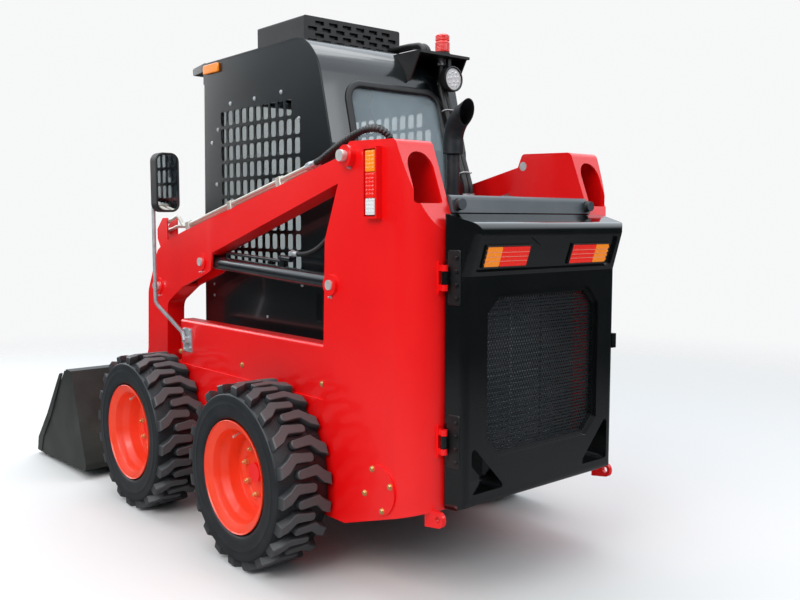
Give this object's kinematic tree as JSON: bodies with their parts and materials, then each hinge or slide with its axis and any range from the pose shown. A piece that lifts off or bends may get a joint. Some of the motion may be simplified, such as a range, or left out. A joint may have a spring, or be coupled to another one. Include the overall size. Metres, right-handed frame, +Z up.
{
  "type": "skid steer loader",
  "caption": "Wheeled skid steer loader with closed cab, lift arms on rear towers, earth bucket, opening rear door, engine hood and cab door.",
  "frame": {"origin": "Under the middle of the machine's length and width, on the ground it stands on.", "axes": "+X forward towards the bucket, +Y to the machine's left, +Z up."},
  "size_m": [3.4358, 1.656, 2.38],
  "materials": {
    "tyre": "matte",
    "rim_red": "satin",
    "hull_red": "gloss",
    "boom_red": "gloss",
    "pin_steel": "satin",
    "frame_black": "satin",
    "engine_grey": "matte",
    "radiator_black": "matte",
    "hood_grey": "satin",
    "door_black": "gloss",
    "mesh_grey": "satin",
    "lamp_red": "gloss",
    "lamp_amber": "gloss",
    "cab_black": "satin",
    "glass": "gloss",
    "seat_vinyl": "satin",
    "console_black": "matte",
    "beacon_red": "gloss",
    "bracket_black": "satin",
    "exhaust_steel": "satin",
    "hose_rubber": "matte",
    "zinc_steel": "satin",
    "pipe_steel": "satin",
    "cylinder_black": "gloss",
    "rod_chrome": "polished",
    "bucket_grey": "satin"
  },
  "bodies": {
    "frame": {"towers": "hull_red", "tower_pins": "pin_steel", "chain_cases": "hull_red", "chassis_tub": "frame_black", "engine_block": "engine_grey", "radiator": "radiator_black", "engine_deck": "hood_grey", "marker_lamps": "lamp_amber", "cab_sides": "cab_black", "cab_roof": "cab_black", "cab_rear_wall": "cab_black", "cab_floor": "cab_black", "cab_front_frame": "cab_black", "rear_glass": "glass", "seat": "seat_vinyl", "controls": "console_black", "ac_unit": "console_black", "beacon": "beacon_red", "work_lamp": "bracket_black", "exhaust_pipe": "exhaust_steel", "climate_hoses": "hose_rubber", "mirror_arms": "zinc_steel", "mirrors": "console_black", "tower_hoses": "hose_rubber"},
    "boom": {"boom_arms": "boom_red", "boom_crossmember": "boom_red", "boom_pipes": "pipe_steel", "boom_hoses": "hose_rubber", "arm_pins": "pin_steel"},
    "lift_barrels": {"lift_barrels": "cylinder_black"},
    "lift_rods": {"lift_rods": "rod_chrome"},
    "tilt_barrels": {"tilt_barrels": "cylinder_black"},
    "tilt_rods": {"tilt_rods": "rod_chrome"},
    "bucket": {"coupling_frame": "frame_black", "bucket": "bucket_grey"},
    "rear_door": {"rear_door": "door_black", "door_grille": "mesh_grey", "tail_lamps": "lamp_red"},
    "cab_door": {"cab_door": "cab_black", "cab_door_glass": "glass"},
    "engine_hood": {"engine_hood": "hood_grey"},
    "wheel_front_left": {"tyre_front_left": "tyre", "rim_front_left": "rim_red"},
    "wheel_front_right": {"tyre_front_right": "tyre", "rim_front_right": "rim_red"},
    "wheel_rear_left": {"tyre_rear_left": "tyre", "rim_rear_left": "rim_red"},
    "wheel_rear_right": {"tyre_rear_right": "tyre", "rim_rear_right": "rim_red"}
  },
  "joints": [
    {"name": "boom_lift", "type": "hinge", "parent": "frame", "child": "boom", "pos_m": [-1.1887, 0, 1.6879], "axis": [0, -1, 0], "range_deg": [0, 65]},
    {"name": "lift_barrel_swing", "type": "hinge", "parent": "frame", "child": "lift_barrels", "pos_m": [-1.0672, 0, 1.194], "axis": [0, -1, 0], "range_deg": [0, 60]},
    {"name": "lift_rod_slide", "type": "slide", "parent": "lift_barrels", "child": "lift_rods", "axis": [0.9988, 0, 0.0485], "range_m": [0, 0.55]},
    {"name": "bucket_tilt", "type": "hinge", "parent": "boom", "child": "bucket", "pos_m": [0.9019, 0, 0.235], "axis": [0, 1, 0], "range_deg": [-28, 106]},
    {"name": "tilt_barrel_swing", "type": "hinge", "parent": "boom", "child": "tilt_barrels", "pos_m": [0.4959, 0, 1.105], "axis": [0, 1, 0], "range_deg": [-5, 8]},
    {"name": "tilt_rod_slide", "type": "slide", "parent": "tilt_barrels", "child": "tilt_rods", "axis": [0.5408, 0, -0.8412], "range_m": [-0.1, 0.34]},
    {"name": "rear_door_hinge", "type": "hinge", "parent": "frame", "child": "rear_door", "pos_m": [-1.6029, 0.475, 0.9], "axis": [0, 0, -1], "range_deg": [0, 115]},
    {"name": "cab_door_hinge", "type": "hinge", "parent": "frame", "child": "cab_door", "pos_m": [0.3199, 0.356, 1.4], "axis": [0, 0, 1], "range_deg": [0, 88]},
    {"name": "engine_hood_hinge", "type": "hinge", "parent": "frame", "child": "engine_hood", "pos_m": [-1.2231, 0, 1.546], "axis": [0, 1, 0], "range_deg": [0, 60]},
    {"name": "front_left_wheel_spin", "type": "hinge", "parent": "frame", "child": "wheel_front_left", "pos_m": [0.3389, 0.705, 0.3865], "axis": [0, 1, 0], "continuous": true},
    {"name": "front_right_wheel_spin", "type": "hinge", "parent": "frame", "child": "wheel_front_right", "pos_m": [0.3389, -0.705, 0.3865], "axis": [0, 1, 0], "continuous": true},
    {"name": "rear_left_wheel_spin", "type": "hinge", "parent": "frame", "child": "wheel_rear_left", "pos_m": [-0.6981, 0.705, 0.3865], "axis": [0, 1, 0], "continuous": true},
    {"name": "rear_right_wheel_spin", "type": "hinge", "parent": "frame", "child": "wheel_rear_right", "pos_m": [-0.6981, -0.705, 0.3865], "axis": [0, 1, 0], "continuous": true}
  ],
  "couplings": [
    {"joint": "lift_barrel_swing", "follows": "boom_lift", "ratio": 0.89028},
    {"joint": "lift_rod_slide", "follows": "boom_lift", "m_per_rad": 0.45937},
    {"joint": "tilt_barrel_swing", "follows": "bucket_tilt", "ratio": 0.01471},
    {"joint": "tilt_rod_slide", "follows": "bucket_tilt", "m_per_rad": 0.16344}
  ]
}
